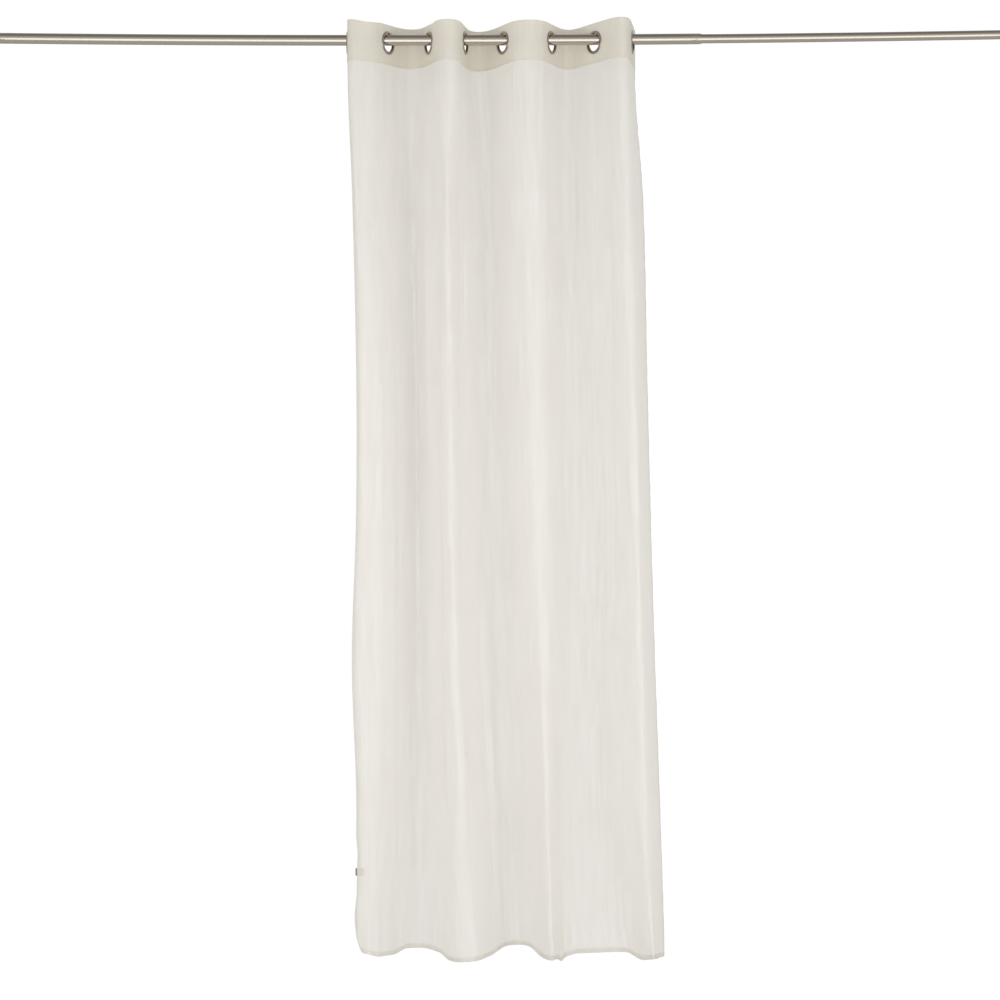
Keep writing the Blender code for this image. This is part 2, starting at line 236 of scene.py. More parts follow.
@dataclass(frozen=True)
class Voile:
    """Polyester voile: a sheer plain weave of fine yarn, with uneven yarns that show as upright streaks.

    The gaps between its yarns let the light behind it straight through, and the yarns themselves pass
    on about as much light as they throw back, which makes it glow softly against the light.
    """

    name: str = "polyester_voile"
    yarn: str = "#f7f4ee"
    slub: str = "#efebe3"
    solid_share: float = 0.835
    slub_share: float = 0.905
    through_share: float = 0.46
    roughness: float = 0.72
    sheen: float = 0.12
    slub_wide: float = 5.5 * MM
    slub_long: float = 240 * MM
    fine_wide: float = 2.4 * MM
    fine_long: float = 70 * MM
    weave_pitch: float = 1.2 * MM
    weave_relief: tuple[float, float] = (0.12, 0.1 * MM)
    slub_relief: tuple[float, float] = (0.22, 1.0 * MM)
    uneven: tuple[float, float] = (0.75, 1.25)
    specular: float = 0.3

    def make(self) -> bpy.types.Material:
        """Builds the node material.

        Returns:
            The voile.
        """
        material, tree = new_material(self.name)
        uv = add_node(tree, "ShaderNodeUVMap", uv_map="cloth").outputs["UV"]
        slubs = self.streaks(tree, uv, self.slub_wide, self.slub_long, 2.0)
        fine = self.streaks(tree, uv, self.fine_wide, self.fine_long, 1.0)
        both = add_node(
            tree, "ShaderNodeMath", {0: slubs, 1: fine}, operation="ADD"
        ).outputs["Value"]
        least, most = self.uneven
        spread = add_node(
            tree, "ShaderNodeMapRange", {"Value": both, "From Min": least, "From Max": most}
        ).outputs["Result"]
        colour = add_node(
            tree,
            "ShaderNodeMix",
            {"Factor": spread, MIX_A: linear(self.yarn), MIX_B: linear(self.slub)},
            data_type="RGBA",
        ).outputs[MIX_RESULT]
        solid = add_node(
            tree,
            "ShaderNodeMapRange",
            {"Value": spread, "To Min": self.solid_share, "To Max": self.slub_share},
        ).outputs["Result"]
        normal = self.weave(tree, uv, both)
        front = add_node(
            tree,
            "ShaderNodeBsdfPrincipled",
            {
                "Base Color": colour,
                "Normal": normal,
                "Roughness": self.roughness,
                "Sheen Weight": self.sheen,
                "Specular IOR Level": self.specular,
            },
        )
        through = add_node(tree, "ShaderNodeBsdfTranslucent", {"Color": colour, "Normal": normal})
        yarns = add_node(
            tree,
            "ShaderNodeMixShader",
            {0: self.through_share, 1: front.outputs["BSDF"], 2: through.outputs["BSDF"]},
        )
        gaps = add_node(tree, "ShaderNodeBsdfTransparent")
        cloth = add_node(
            tree,
            "ShaderNodeMixShader",
            {0: solid, 1: gaps.outputs["BSDF"], 2: yarns.outputs["Shader"]},
        )
        add_node(tree, "ShaderNodeOutputMaterial", {"Surface": cloth.outputs["Shader"]})
        return material

    def streaks(
        self,
        tree: bpy.types.NodeTree,
        uv: bpy.types.NodeSocket,
        wide: float,
        long: float,
        detail: float,
    ) -> bpy.types.NodeSocket:
        """Uneven yarns, as noise drawn out along the warp.

        Args:
            tree: the material's node tree.
            uv: the flat cloth's coordinates, in metres.
            wide: how wide a streak is.
            long: how long a streak is.
            detail: how many finer turns of noise lie in it.

        Returns:
            The noise, from 0 to 1.
        """
        drawn = add_node(
            tree, "ShaderNodeMapping", {"Vector": uv, "Scale": (1 / wide, 1 / long, 1.0)}
        ).outputs["Vector"]
        return add_node(
            tree,
            "ShaderNodeTexNoise",
            {"Vector": drawn, "Scale": 1.0, "Detail": detail},
            noise_dimensions="2D",
        ).outputs["Fac"]

    def weave(
        self, tree: bpy.types.NodeTree, uv: bpy.types.NodeSocket, streaks: bpy.types.NodeSocket
    ) -> bpy.types.NodeSocket:
        """The relief of the plain weave and of its thicker yarns.

        Real voile has about 2 yarns to a millimetre. They are drawn at less than half of that, still
        too fine to be seen apart from a step away.

        Args:
            tree: the material's node tree.
            uv: the flat cloth's coordinates, in metres.
            streaks: where the yarns are thicker.

        Returns:
            The bumped normal.
        """
        split = add_node(tree, "ShaderNodeSeparateXYZ", {"Vector": uv})
        ribs = []
        for axis in ("X", "Y"):
            turns = add_node(
                tree,
                "ShaderNodeMath",
                {0: split.outputs[axis], 1: 2 * pi / self.weave_pitch},
                operation="MULTIPLY",
            ).outputs["Value"]
            ribs.append(
                add_node(tree, "ShaderNodeMath", {0: turns}, operation="SINE").outputs["Value"]
            )
        crossed = add_node(
            tree, "ShaderNodeMath", {0: ribs[0], 1: ribs[1]}, operation="MULTIPLY"
        ).outputs["Value"]
        strength, deep = self.weave_relief
        fine = add_node(
            tree, "ShaderNodeBump", {"Height": crossed, "Strength": strength, "Distance": deep}
        ).outputs["Normal"]
        strength, deep = self.slub_relief
        return add_node(
            tree,
            "ShaderNodeBump",
            {"Height": streaks, "Strength": strength, "Distance": deep, "Normal": fine},
        ).outputs["Normal"]


@dataclass(frozen=True)
class HeadingCloth(Voile):
    """The same voile doubled over a stiff band: closer, creamier, and nearly without light behind it."""

    name: str = "stiffened_voile_heading"
    yarn: str = "#f8f5ec"
    slub: str = "#f2eee4"
    solid_share: float = 0.94
    slub_share: float = 0.98
    through_share: float = 0.40


@dataclass(frozen=True)
class SatinNickel:
    """Steel tube, nickel plated and drawn through abrasive, whose fine lines spread its highlights."""

    name: str = "satin_nickel_tube"
    colour: str = "#cec6b9"
    dull_colour: str = "#bfb6a8"
    roughness: tuple[float, float] = (0.15, 0.26)
    line_wide: float = 0.7 * MM
    line_long: float = 120 * MM
    line_relief: tuple[float, float] = (0.06, 0.05 * MM)

    def make(self) -> bpy.types.Material:
        """Builds the node material.

        Returns:
            The plated and brushed metal.
        """
        material, tree = new_material(self.name)
        place = self.place(tree)
        lines = add_node(
            tree, "ShaderNodeTexNoise", {"Vector": place, "Scale": 1.0, "Detail": 3.0}
        ).outputs["Fac"]
        colour = add_node(
            tree,
            "ShaderNodeMix",
            {"Factor": lines, MIX_A: linear(self.dull_colour), MIX_B: linear(self.colour)},
            data_type="RGBA",
        ).outputs[MIX_RESULT]
        colour = self.shaded(tree, colour)
        smooth, rough = self.roughness
        roughness = add_node(
            tree, "ShaderNodeMapRange", {"Value": lines, "To Min": rough, "To Max": smooth}
        ).outputs["Result"]
        strength, deep = self.line_relief
        normal = add_node(
            tree, "ShaderNodeBump", {"Height": lines, "Strength": strength, "Distance": deep}
        ).outputs["Normal"]
        metal = add_node(
            tree,
            "ShaderNodeBsdfPrincipled",
            {"Base Color": colour, "Metallic": 1.0, "Roughness": roughness, "Normal": normal},
        )
        add_node(tree, "ShaderNodeOutputMaterial", {"Surface": metal.outputs["BSDF"]})
        return material

    def shaded(
        self, tree: bpy.types.NodeTree, colour: bpy.types.NodeSocket
    ) -> bpy.types.NodeSocket:
        """The colour as it is: the tube is plated evenly."""
        return colour

    def place(self, tree: bpy.types.NodeTree) -> bpy.types.NodeSocket:
        """Coordinates in which the brushed lines run along the tube.

        Args:
            tree: the material's node tree.

        Returns:
            Object coordinates, drawn out along X.
        """
        where = add_node(tree, "ShaderNodeTexCoord").outputs["Object"]
        across = 1 / self.line_wide
        return add_node(
            tree,
            "ShaderNodeMapping",
            {"Vector": where, "Scale": (1 / self.line_long, across, across)},
        ).outputs["Vector"]


@dataclass(frozen=True)
class EyeletNickel(SatinNickel):
    """Pressed steel, plated in dark nickel and spun against an abrasive, which leaves fine rings."""

    name: str = "dark_nickel_eyelet"
    colour: str = "#b3aa9b"
    dull_colour: str = "#9d9383"
    roughness: tuple[float, float] = (0.2, 0.34)
    line_wide: float = 0.5 * MM
    # painted shade: the colour laid on the bore's inner wall
    bore_shade_colour: str = "#5a5046"
    bore_radius: float = 22.6 * MM
    face_radius: float = 24.2 * MM

    def shaded(
        self, tree: bpy.types.NodeTree, colour: bpy.types.NodeSocket
    ) -> bpy.types.NodeSocket:
        """Paints shade into the bore: its inner wall is darkened, standing in for the shadow that falls
        inside the ring round the rod.

        Args:
            tree: the material's node tree.
            colour: the colour of the ring's faces.

        Returns:
            The colour all over the ring.
        """
        # Painted shade: the colour darkens from the face radius in to the bore radius.
        turned = add_node(tree, "ShaderNodeAttribute", attribute_name="turned").outputs["Vector"]
        radius = add_node(tree, "ShaderNodeSeparateXYZ", {"Vector": turned}).outputs["X"]
        face = add_node(
            tree,
            "ShaderNodeMapRange",
            {"Value": radius, "From Min": self.bore_radius, "From Max": self.face_radius},
        ).outputs["Result"]
        return add_node(
            tree,
            "ShaderNodeMix",
            {"Factor": face, MIX_A: linear(self.bore_shade_colour), MIX_B: colour},
            data_type="RGBA",
        ).outputs[MIX_RESULT]

    def place(self, tree: bpy.types.NodeTree) -> bpy.types.NodeSocket:
        """Coordinates in which the brushed lines run round the ring.

        Args:
            tree: the material's node tree.

        Returns:
            The ring's own radius and depth, which its mesh carries as an attribute.
        """
        turned = add_node(tree, "ShaderNodeAttribute", attribute_name="turned").outputs["Vector"]
        across = 1 / self.line_wide
        return add_node(
            tree, "ShaderNodeMapping", {"Vector": turned, "Scale": (across, across, across)}
        ).outputs["Vector"]


@dataclass(frozen=True)
class PlainFibre:
    """Spun or woven polyester in small pieces: sewing thread and label tape, matt with a ribbed relief."""

    name: str
    colour: str
    shade: str
    roughness: float = 0.7
    rib_pitch: float = 0.6 * MM
    rib_scale: float = 0.32
    rib_sway: float = 1.5
    rib_relief: tuple[float, float] = (0.3, 0.1 * MM)

    def make(self) -> bpy.types.Material:
        """Builds the node material.

        Returns:
            The fibre.
        """
        material, tree = new_material(self.name)
        uv = add_node(tree, "ShaderNodeUVMap", uv_map="cloth").outputs["UV"]
        drawn = add_node(
            tree,
            "ShaderNodeMapping",
            {"Vector": uv, "Scale": (1 / self.rib_pitch, 1 / self.rib_pitch, 1.0)},
        ).outputs["Vector"]
        ribs = add_node(
            tree,
            "ShaderNodeTexWave",
            {"Vector": drawn, "Scale": self.rib_scale, "Distortion": self.rib_sway},
        ).outputs["Fac"]
        colour = add_node(
            tree,
            "ShaderNodeMix",
            {"Factor": ribs, MIX_A: linear(self.colour), MIX_B: linear(self.shade)},
            data_type="RGBA",
        ).outputs[MIX_RESULT]
        strength, deep = self.rib_relief
        normal = add_node(
            tree, "ShaderNodeBump", {"Height": ribs, "Strength": strength, "Distance": deep}
        ).outputs["Normal"]
        fibre = add_node(
            tree,
            "ShaderNodeBsdfPrincipled",
            {"Base Color": colour, "Roughness": self.roughness, "Normal": normal},
        )
        add_node(tree, "ShaderNodeOutputMaterial", {"Surface": fibre.outputs["BSDF"]})
        return material


# How the cloth hangs


class Pass(NamedTuple):
    """Where the cloth passes the rod's plane at each level, and the angles at which it does so."""

    turn_top: float
    turn_low: float
    heading: float
    z_420: float
    z_890: float
    z_1260: float
    z_1630: float
    z_2000: float
    z_2310: float
    hem: float


class Level(NamedTuple):
    """A horizontal section: its height, and how far the cloth stays straight beside the rod's plane."""

    height: float
    straight: float


class Lift(NamedTuple):
    """How much higher the cloth hangs at a distance along it."""

    along: float
    up: float


class Swell(NamedTuple):
    """A smaller fold or crease that stands out towards the viewer, or lies in when out is negative."""

    along_top: float
    along_low: float
    upper: float
    lower: float
    out: float
    half: float


class Pucker(NamedTuple):
    """A stretch of a side hem drawn up by its stitching."""

    side: int
    upper: float
    lower: float
    pitch: float
    swing: float


# The passes, levels and lifts of the solids, in millimetres and degrees. A few of the heading's own are
# set a little closer to the real one than the solids' are.
PASSES = [
    Pass(88, 91, -400, -387, -377, -378, -389, -377, -381, -372),
    Pass(61, 58, -295, -284, -271, -268, -268, -271, -273, -274),
    Pass(68, 60, -187, -184, -179, -174, -166, -155, -148, -145),
    Pass(78, 60, -92, -87, -84, -76, -66, -47, -31, -24),
    Pass(59, 64, 8, 16, 29, 42, 58, 76, 87, 92),
    Pass(65, 70, 135, 139, 147, 155, 160, 160, 165, 168),
    Pass(53, 50, 248, 258, 276, 289, 297, 305, 330, 342),
    Pass(80, 74, 348, 364, 375, 384, 395, 408, 418, 420),
]
LEVELS = [
    Level(-65, 32),
    Level(-420, 16),
    Level(-890, 9),
    Level(-1260, 7),
    Level(-1630, 6),
    Level(-2000, 6),
    Level(-2310, 6),
    Level(-2400, 6),
]
HEADING_LIFTS = [
    Lift(0, 5), Lift(105, 4), Lift(165, -5), Lift(230, -1), Lift(334, 2), Lift(400, 0),
    Lift(443, -3), Lift(490, 1), Lift(545, -1), Lift(603, -7), Lift(700, -4), Lift(883, 1),
    Lift(1066, 1), Lift(1158, 4), Lift(1240, 6), Lift(1341, 2), Lift(1401, -5),
]
HEM_LIFTS = [
    Lift(0, 62), Lift(60, 52), Lift(96, 43), Lift(130, 12), Lift(182, 0),
    Lift(242, -3), Lift(287, 4), Lift(332, 1), Lift(392, -4), Lift(452, -16), Lift(542, -11),
    Lift(602, -8), Lift(692, 7), Lift(752, 11), Lift(842, -5), Lift(902, -3), Lift(962, -18),
    Lift(1022, -4), Lift(1142, 0), Lift(1202, -11), Lift(1262, -1), Lift(1322, -11), Lift(1401, -20),
]
RIPPLES = [
    Swell(660, 675, -1330, -2460, 13, 34),
    Swell(515, 515, -2120, -2460, -9, 36),
    Swell(150, 156, -620, -1900, -7, 34),
    Swell(1110, 1105, -900, -2300, -6, 45),
    Swell(880, 868, -1500, -2460, 6, 40),
]

# Creases too small for the solids
CREASES = [
    Swell(120, 126, -100, -1500, 1.2, 14),
    Swell(175, 172, -700, -2350, 1.3, 14),
    Swell(246, 248, -640, -2600, -2.0, 16),
    Swell(402, 398, -90, -1100, 1.5, 14),
    Swell(536, 488, -20, -2500, 2.4, 46),
    Swell(612, 604, -90, -1100, 1.4, 14),
    Swell(694, 676, -1250, -2600, -2.2, 14),
    Swell(742, 735, -1000, -2430, 1.4, 14),
    Swell(902, 890, -20, -1500, 2.4, 42),
    Swell(896, 930, -1000, -2600, 2.2, 44),
    Swell(1104, 1064, -20, -1500, 2.0, 50),
    Swell(1276, 1210, -20, -1700, 2.4, 50),
    Swell(1262, 1268, -1450, -1800, 1.8, 20),
    Swell(80, 80, -2090, -2290, -5.5, 70),
]
PUCKERS = [
    Pucker(1, -60, -420, 26, 2.6),
    Pucker(1, -420, -1150, 61, 1.2),
    Pucker(1, -1150, -1320, 40, 2.0),
    Pucker(1, -1320, -2390, 83, 0.9),
    Pucker(-1, -60, -900, 52, 0.9),
    Pucker(-1, -900, -1120, 46, 1.8),
    Pucker(-1, -1120, -2390, 74, 0.9),
]

SWELL_RISE = 0.25
CREASE_SIDE = 11.0


@dataclass
class Drape:
    """The hung cloth: its folds at each level, its lifts and its smaller creases."""

    pitch: float = 183 * MM
    margin: float = 60 * MM
    heading_top: float = 40.5 * MM
    heading_foot: float = -65 * MM
    hem: float = -2400 * MM
    side_column: float = 15 * MM
    fold_steps: int = 7
    curve_steps: int = 48
    halvings: int = 40
    step: float = 1.0 * MM
    pucker_reach: float = 16 * MM
    pucker_fade: float = 12.0
    pucker_aside: float = 0.6
    sections: list[tuple[np.ndarray, np.ndarray]] = field(init=False, repr=False)

    def __post_init__(self) -> None:
        """Draws each level's section once."""
        self.sections = [self.section(level) for level in range(len(LEVELS))]

    @property
    def width(self) -> float:
        """The cloth's flat width."""
        return 2 * self.margin + self.pitch * (len(PASSES) - 1)

    def pass_place(self, index: int, level: int) -> np.ndarray:
        """Where a pass crosses the rod's plane, seen from above."""
        return np.array([PASSES[index][2 + level] * MM, 0.0])

    def pass_way(self, index: int, level: int) -> np.ndarray:
        """The cloth's direction at a pass: to the front at even ones, to the back at odd ones."""
        row = PASSES[index]
        turn = radians(row.turn_top if level == 0 else row.turn_low)
        return np.array([cos(turn), sin(turn) * (1 if index % 2 else -1)])

    def bend(
        self,
        start: np.ndarray,
        start_way: np.ndarray,
        end: np.ndarray,
        end_way: np.ndarray,
        handle: float,
    ) -> np.ndarray:
        """Points round a smooth fold.

        Args:
            start: where it starts.
            start_way: its direction there.
            end: where it ends.
            end_way: its direction there.
            handle: how far its curve reaches out.

        Returns:
            One row of x and y for each point.
        """
        t = np.linspace(0, 1, self.curve_steps + 1)[:, None]
        reach = (start, start + start_way * handle, end - end_way * handle, end)
        shares = ((1 - t) ** 3, 3 * t * (1 - t) ** 2, 3 * t * t * (1 - t), t**3)
        return sum(place * share for place, share in zip(reach, shares))

    def fold(
        self,
        start: np.ndarray,
        start_way: np.ndarray,
        end: np.ndarray,
        end_way: np.ndarray,
        cloth: float,
    ) -> np.ndarray:
        """The fold between two passes that takes up this much cloth.

        Args:
            start: where it starts.
            start_way: its direction there.
            end: where it ends.
            end_way: its direction there.
            cloth: the length of cloth in it.

        Returns:
            One row of x and y for each point.
        """
        low, high = 0.0, cloth
        for _ in range(self.halvings):
            handle = (low + high) / 2
            points = self.bend(start, start_way, end, end_way, handle)
            if np.linalg.norm(np.diff(points, axis=0), axis=1).sum() < cloth:
                low = handle
            else:
                high = handle
        return points

    def section(self, level: int) -> tuple[np.ndarray, np.ndarray]:
        """One level's section from left to right.

        Args:
            level: the level's number, from the top.

        Returns:
            Distances along the cloth, and the places there.
        """
        straight = LEVELS[level].straight * MM
        last = len(PASSES) - 1
        places = [self.pass_place(i, level) for i in range(last + 1)]
        ways = [self.pass_way(i, level) for i in range(last + 1)]
        route = [(places[0] - ways[0] * self.margin)[None]]
        for i in range(last):
            start, end = places[i] + ways[i] * straight, places[i + 1] - ways[i + 1] * straight
            route.append(self.fold(start, ways[i], end, ways[i + 1], self.pitch - 2 * straight))
        route.append((places[last] + ways[last] * self.margin)[None])
        points = np.concatenate(route)
        runs = np.linalg.norm(np.diff(points, axis=0), axis=1)
        return np.concatenate([[0.0], np.cumsum(runs)]), points

    def place(self, along: np.ndarray, height: np.ndarray) -> np.ndarray:
        """Where the folds put points of the cloth, seen from above.

        Args:
            along: distances along the cloth.
            height: the points' heights.

        Returns:
            One row of x and y for each point.
        """
        share = np.clip(along / self.width, 0, 1)
        at = np.stack(
            [
                np.stack([np.interp(share * runs[-1], runs, points[:, k]) for k in (0, 1)], 1)
                for runs, points in self.sections
            ]
        )
        heights = np.array([level.height for level in LEVELS]) * MM
        slopes = np.zeros_like(at)
        slopes[1:-1] = (at[2:] - at[:-2]) / (heights[2:] - heights[:-2])[:, None, None]
        held = np.clip(height, heights[-1], heights[0])
        k = np.clip(np.searchsorted(-heights, -held, side="right") - 1, 0, len(heights) - 2)
        span = (heights[k + 1] - heights[k])[:, None]
        t = (held - heights[k])[:, None] / span
        n = np.arange(len(along))
        ends = at[k, n] * (1 - 3 * t**2 + 2 * t**3) + at[k + 1, n] * (3 * t**2 - 2 * t**3)
        leans = slopes[k, n] * (t - 2 * t**2 + t**3) + slopes[k + 1, n] * (t**3 - t**2)
        return ends + leans * span

    def backwards(self, along: np.ndarray, height: np.ndarray) -> np.ndarray:
        """The level direction square to the cloth, on the side away from the viewer.

        Args:
            along: distances along the cloth.
            height: the points' heights.

        Returns:
            One row of x and y for each point.
        """
        near = np.clip(along, self.step, self.width - self.step)
        way = self.place(near + self.step, height) - self.place(near - self.step, height)
        way /= np.linalg.norm(way, axis=1)[:, None]
        return np.stack([-way[:, 1], way[:, 0]], 1)

    def eased(self, rows: Sequence[Lift], along: np.ndarray) -> np.ndarray:
        """A lift between the rows of its table.

        Args:
            rows: the table.
            along: distances along the cloth, in metres.

        Returns:
            The lift at each distance, in metres.
        """
        marks, ups = np.array(rows, dtype=float).T
        at = np.clip(along / MM, marks[0], marks[-1])
        k = np.clip(np.searchsorted(marks, at, side="right") - 1, 0, len(marks) - 2)
        t = (at - marks[k]) / (marks[k + 1] - marks[k])
        return (ups[k] + (ups[k + 1] - ups[k]) * t * t * (3 - 2 * t)) * MM

    def heading_lift(self, along: np.ndarray) -> np.ndarray:
        """The heading's lift, straight between the same columns as in its solid.

        Args:
            along: distances along the cloth.

        Returns:
            The lift at each distance.
        """
        straight = LEVELS[0].straight * MM
        steps = straight + np.arange(self.fold_steps + 1) * (
            (self.pitch - 2 * straight) / self.fold_steps
        )
        starts = self.margin + np.arange(len(PASSES) - 1) * self.pitch
        sides = [0.0, self.side_column, self.width - self.side_column, self.width]
        marks = np.sort(np.concatenate([(starts[:, None] + steps).ravel(), sides]))
        return np.interp(along, marks, self.eased(HEADING_LIFTS, marks))

    def swells(
        self, rows: Sequence[Swell], along: np.ndarray, height: np.ndarray, sharp: bool
    ) -> np.ndarray:
        """How far smaller folds or creases stand out.

        Args:
            rows: their table.
            along: distances along the cloth.
            height: the points' heights.
            sharp: whether they are flat with creased edges, and not rounded.

        Returns:
            The distance out at each point.
        """
        out, at, z = np.zeros(len(along)), along / MM, height / MM
        for row in rows:
            t = (z - row.upper) / (row.lower - row.upper)
            centre = row.along_top + (row.along_low - row.along_top) * t
            aside = np.abs(at - centre)
            fade = np.clip(t / SWELL_RISE, 0, 1) * np.clip((1 - t) / SWELL_RISE, 0, 1)
            if sharp:
                rise = np.clip((row.half - aside) / CREASE_SIDE, 0, 1)
            else:
                rise = (1 + np.cos(pi * np.clip(aside / row.half, 0, 1))) / 2
            out += row.out * MM * fade * rise
        return out

    def puckers(self, along: np.ndarray, height: np.ndarray) -> np.ndarray:
        """How far the side hems swing where their stitching draws them up.

        Args:
            along: distances along the cloth.
            height: the points' heights.

        Returns:
            The swing at each point.
        """
        swing = np.zeros(len(along))
        for row in PUCKERS:
            from_edge = along if row.side < 0 else self.width - along
            t = (height / MM - row.upper) / (row.lower - row.upper)
            fade = np.clip(t * self.pucker_fade, 0, 1) * np.clip((1 - t) * self.pucker_fade, 0, 1)
            turns = 2 * pi * height / MM / row.pitch
            wave = np.sin(turns + np.sin(turns / 2.3)) + 0.5 * np.sin(2.7 * turns + 1.0)
            reach = np.exp(-np.clip(from_edge, 0, None) / self.pucker_reach)
            swing += row.swing * MM * fade * wave * reach
        return swing

    def hang(self, along: np.ndarray, height: np.ndarray, behind: np.ndarray) -> np.ndarray:
        """Where points of the cloth hang.

        Args:
            along: distances along the cloth.
            height: the points' heights.
            behind: how far they lie behind the cloth's middle.

        Returns:
            One row of x, y and z for each point.
        """
        place, square = self.place(along, height), self.backwards(along, height)
        swing = self.puckers(along, height)
        depth = behind - self.swells(CREASES, along, height, True) + swing
        ground = place + square * depth[:, None]
        ground[:, 0] += self.pucker_aside * swing * np.sign(along - self.width / 2)
        ground[:, 1] -= self.swells(RIPPLES, along, height, False)
        return np.column_stack([ground, height])


DRAPE = Drape()


@dataclass
class Stitching:
    """Rows of lockstitch: small spindles of thread laid on flat cloth, then hung with it."""

    pitch: float = 4.0 * MM
    long: float = 3.2 * MM
    thick: float = 0.42 * MM
    sides: int = 5
    full_share: float = 0.9
    end_share: float = 0.35

    def row(self, name: str, length: float) -> bpy.types.Object:
        """One straight row of stitches along X.

        Args:
            name: the object's name.
            length: how long the row is.

        Returns:
            The row, as one mesh.
        """
        deselect_all()
        bpy.ops.mesh.primitive_cylinder_add(
            vertices=self.sides,
            radius=self.thick / 2,
            depth=self.long,
            location=(self.pitch / 2, 0, 0),
            rotation=(0, pi / 2, 0),
        )
        stitch = bpy.context.object
        stitch.name = name
        bpy.ops.object.transform_apply(location=True, rotation=True, scale=True)
        with editing(stitch):
            bpy.ops.mesh.select_all(action="SELECT")
            bpy.ops.mesh.bisect(
                plane_co=(self.pitch / 2, 0, 0), plane_no=(1, 0, 0), use_fill=False
            )
            ends = (self.long / 2) * self.full_share
            pick(stitch, lambda co: abs(co.x - self.pitch / 2) > ends)
            bpy.ops.transform.resize(
                value=(1, self.end_share, self.end_share),
                center_override=(self.pitch / 2, 0, 0),
            )
        repeat = stitch.modifiers.new("along_the_seam", "ARRAY")
        repeat.use_relative_offset = False
        repeat.use_constant_offset = True
        repeat.constant_offset_displace = (self.pitch, 0, 0)
        repeat.count = int(length / self.pitch)
        apply_all(stitch)
        return stitch


@dataclass
class CurtainPanel:
    """The voile below the heading, with a narrow hem turned back along its foot and both sides."""

    column_step: float = 4.6 * MM
    row_step: float = 14 * MM
    length: float = 2335 * MM
    tuck: float = 7 * MM
    side_hem: float = 12 * MM
    foot_hem: float = 12 * MM
    turn: float = 0.45 * MM
    turn_steps: int = 3
    seam_in: float = 1.5 * MM

    def marks(self, length: float, step: float, before: float, after: float) -> np.ndarray:
        """Places of the grid's lines, closer together where a hem turns.

        Args:
            length: the finished cloth's length that way.
            step: the distance between lines.
            before: the hem turned back before 0.
            after: the hem turned back after the length.

        Returns:
            The places, from the least to the largest.
        """
        middle = np.linspace(0, length, round(length / step) + 1)
        curl = pi * self.turn * np.arange(1, self.turn_steps + 1) / self.turn_steps
        low = -np.concatenate([curl, curl[-1] + before * np.array([0.5, 1.0])]) if before else []
        high = length + np.concatenate([curl, curl[-1] + after * np.array([0.5, 1.0])])
        return np.sort(np.concatenate([low, middle, high]))

    def turned(self, at: np.ndarray, length: float) -> tuple[np.ndarray, np.ndarray]:
        """Turns what lies outside the finished cloth back behind it.

        Args:
            at: places across the flat cloth.
            length: where the finished cloth ends.

        Returns:
            The places on the finished cloth, and how far behind it they lie.
        """
        place, behind = np.clip(at, 0, length), np.zeros(len(at))
        half = pi * self.turn
        for over, edge, inwards in ((-at, 0.0, 1), (at - length, length, -1)):
            angle = np.clip(over / self.turn, 0, pi)
            out = self.turn * np.sin(angle)
            back = np.clip(over - half, 0, None)
            moved = edge + inwards * (back - out)
            place = np.where(over > 0, moved, place)
            behind = np.where(over > 0, self.turn * (1 - np.cos(angle)), behind)
        return place, behind

    def hang(self, flat: np.ndarray) -> np.ndarray:
        """Hangs points of the flat cloth.

        Args:
            flat: distances along and down the cloth, and behind it.

        Returns:
            Their places.
        """
        along, behind_side = self.turned(flat[:, 0], DRAPE.width)
        down, behind_foot = self.turned(flat[:, 1], self.length)
        top = DRAPE.heading_foot + DRAPE.heading_lift(along) + self.tuck
        foot = DRAPE.hem + DRAPE.eased(HEM_LIFTS, along)
        height = top + (foot - top) * down / self.length
        return DRAPE.hang(along, height, flat[:, 2] + behind_side + behind_foot)

    def make(self, cloth: bpy.types.Material) -> bpy.types.Object:
        """Cuts, hems and hangs the voile.

        Args:
            cloth: the voile.

        Returns:
            The panel.
        """
        across = self.marks(DRAPE.width, self.column_step, self.side_hem, self.side_hem)
        down = self.marks(self.length, self.row_step, 0.0, self.foot_hem)
        deselect_all()
        bpy.ops.mesh.primitive_grid_add(
            x_subdivisions=len(across) - 1, y_subdivisions=len(down) - 1, size=1
        )
        panel = bpy.context.object
        panel.name = "voile_panel"
        share = points_of(panel)[:, :2] + 0.5
        column = np.rint(share[:, 0] * (len(across) - 1)).astype(int)
        row = np.rint((1 - share[:, 1]) * (len(down) - 1)).astype(int)
        flat = np.column_stack([across[column], down[row], np.zeros(len(share))])
        lay_uv(panel, flat)
        set_points(panel, self.hang(flat))
        panel.data.shade_smooth()
        return make_part(panel, cloth, ["curtain_panel"])

    def seams(self, thread: bpy.types.Material, stitching: Stitching) -> list[bpy.types.Object]:
        """Sews the hems.

        Args:
            thread: the sewing thread.
            stitching: how the stitches are made.

        Returns:
            The rows of stitches.
        """
        rows = []
        foot = stitching.row("foot_hem_stitches", DRAPE.width)
        points = points_of(foot)
        at = self.length - self.foot_hem + self.seam_in
        flat = np.column_stack([points[:, 0], at + points[:, 1], points[:, 2]])
        rows.append((foot, flat))
        for side, edge in (("left", self.side_hem), ("right", DRAPE.width - self.side_hem)):
            seam = stitching.row(f"{side}_hem_stitches", self.length)
            points = points_of(seam)
            rows.append((seam, np.column_stack([edge + points[:, 1], points[:, 0], points[:, 2]])))
        for seam, flat in rows:
            lay_uv(seam, flat)
            set_points(seam, self.hang(flat))
            seam.data.shade_smooth()
            make_part(seam, thread)
        return [seam for seam, _ in rows]


